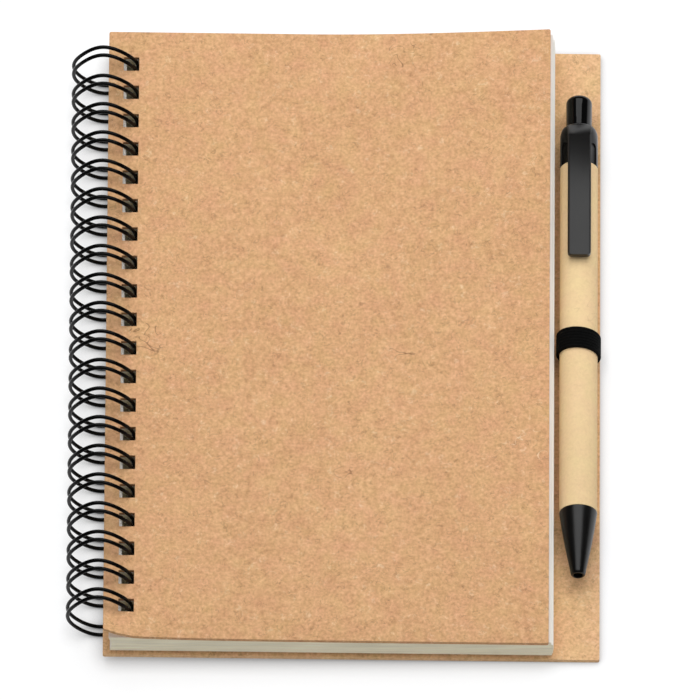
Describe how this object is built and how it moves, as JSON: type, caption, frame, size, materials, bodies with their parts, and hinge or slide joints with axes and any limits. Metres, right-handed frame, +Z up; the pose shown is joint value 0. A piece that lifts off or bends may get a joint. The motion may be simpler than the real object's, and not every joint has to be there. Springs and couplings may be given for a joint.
{
  "type": "wire-bound notebook with pen",
  "caption": "Kraft-covered notebook bound with a black twin-loop wire; a push pen sits in an elastic loop on the wider back cover.",
  "frame": {"origin": "on the table under the middle of the closed book's bounding box", "axes": "+Y along the spine towards the head, +X from the rings towards the pen tray, +Z up off the table"},
  "size_m": [0.1382, 0.18, 0.0178],
  "materials": {
    "kraft_board": "matte recycled kraft board with fine flecks and fibres",
    "page_paper": "matte cream-white writing paper, cut edges",
    "coated_wire": "black nylon-coated steel wire, satin",
    "elastic": "black ribbed woven elastic",
    "kraft_tube": "smooth pale kraft paper tube, matte",
    "black_plastic": "satin moulded black plastic",
    "glossy_black_plastic": "gloss moulded black plastic",
    "white_plastic": "natural moulded plastic",
    "refill_plastic": "translucent plastic tube",
    "brass_point": "turned brass point",
    "spring_steel": "drawn spring wire"
  },
  "bodies": {
    "base": {"back_cover": "kraft_board", "binding_wire": "coated_wire", "pen_loop": "elastic", "pen_barrel": "kraft_tube", "pen_nose": "black_plastic", "pen_cap": "black_plastic", "pen_spring": "spring_steel"},
    "pages": {"page_block": "page_paper"},
    "cover": {"front_cover": "kraft_board"},
    "refill_carriage": {"pen_button": "glossy_black_plastic", "pen_rotor": "white_plastic", "refill_tube": "refill_plastic", "refill_point": "brass_point"}
  },
  "joints": [
    {"name": "page_turn", "type": "hinge", "parent": "base", "child": "pages", "pos_m": [-0.06016, 0, 0.0089], "axis": [0, -1, 0], "range_deg": [0, 180]},
    {"name": "cover_turn", "type": "hinge", "parent": "pages", "child": "cover", "pos_m": [-0.06016, 0, 0.0089], "axis": [0, -1, 0], "range_deg": [0, 180]},
    {"name": "button_press", "type": "slide", "parent": "base", "child": "refill_carriage", "axis": [0, -1, 0], "range_m": [0, 0.005], "stiffness_N_per_m": 250, "springref_m": -0.008, "deforming": ["pen_spring"]}
  ]
}
